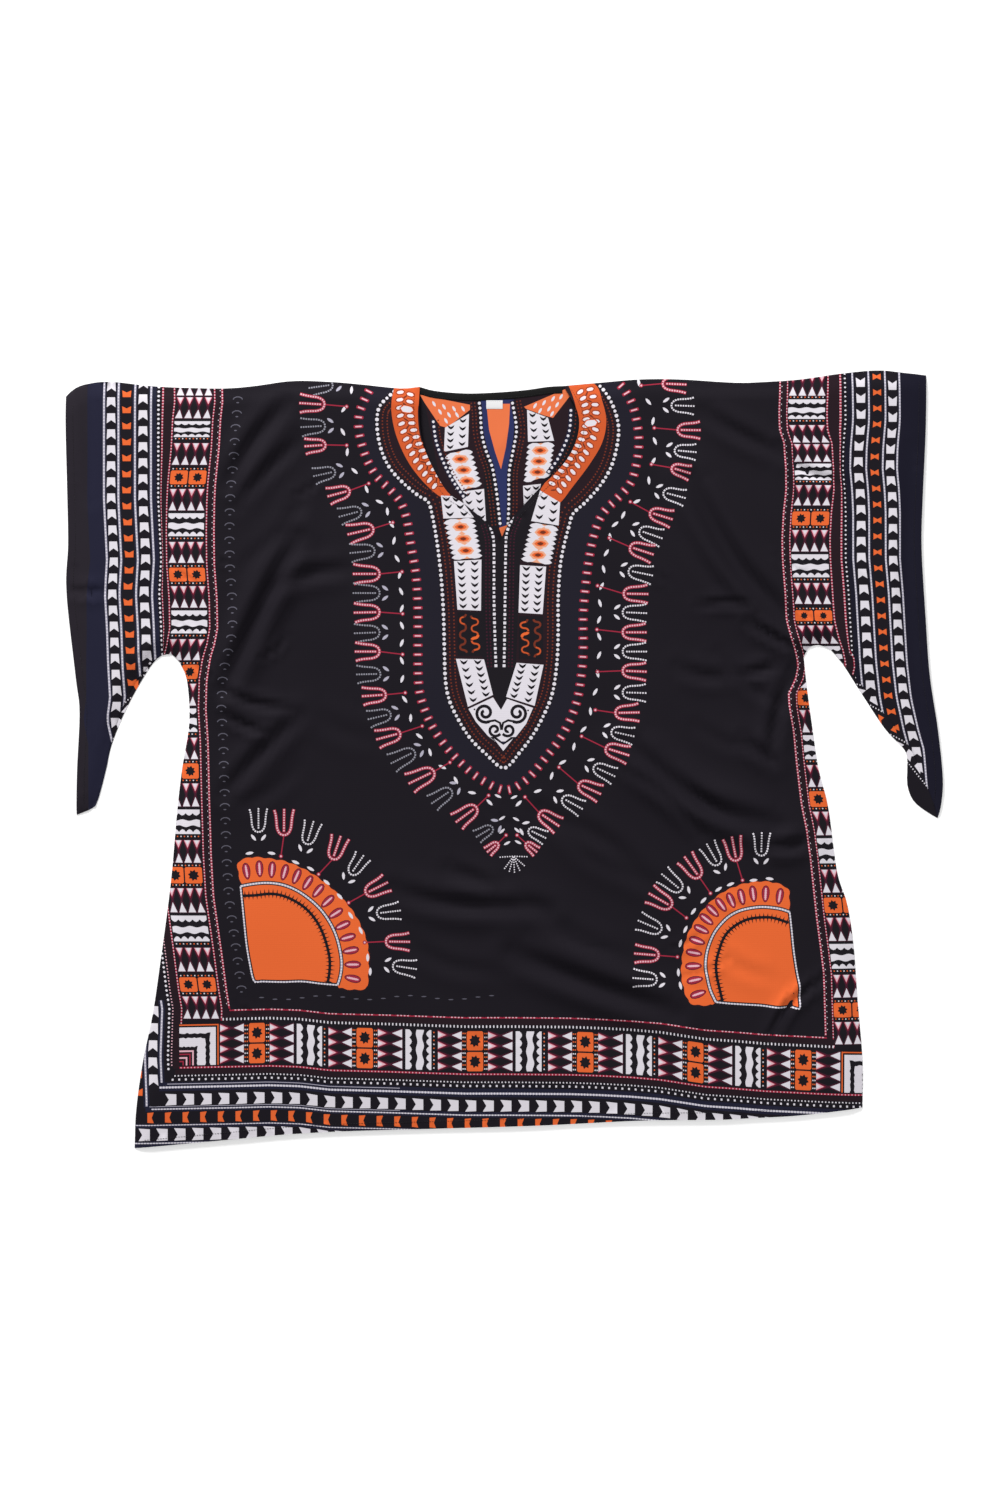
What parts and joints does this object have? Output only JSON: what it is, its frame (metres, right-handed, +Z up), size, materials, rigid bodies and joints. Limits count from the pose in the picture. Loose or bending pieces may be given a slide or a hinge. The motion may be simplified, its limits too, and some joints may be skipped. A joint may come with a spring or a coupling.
{
  "type": "dashiki shirt",
  "caption": "Pullover dashiki shirt with a V neck and wide kimono-cut sleeves, in bordered printed cloth, laid flat face up.",
  "frame": {"origin": "middle of the shirt's box, on the surface it lies on", "axes": "+X towards the sleeve on the right of the view from above, +Y towards the neck, +Z up out of the surface"},
  "size_m": [1.0732, 0.9521, 0.0102],
  "materials": {
    "printed_cloth": "thin smooth woven cotton, soft satin sheen, printed in black, navy, orange, crimson and white",
    "facing_cloth": "plain black woven cotton",
    "label_cloth": "white woven tape, blank"
  },
  "bodies": {
    "root": {"back": "printed_cloth", "front": "printed_cloth", "back_neck_facing": "facing_cloth", "neck_label": "label_cloth"}
  },
  "joints": []
}
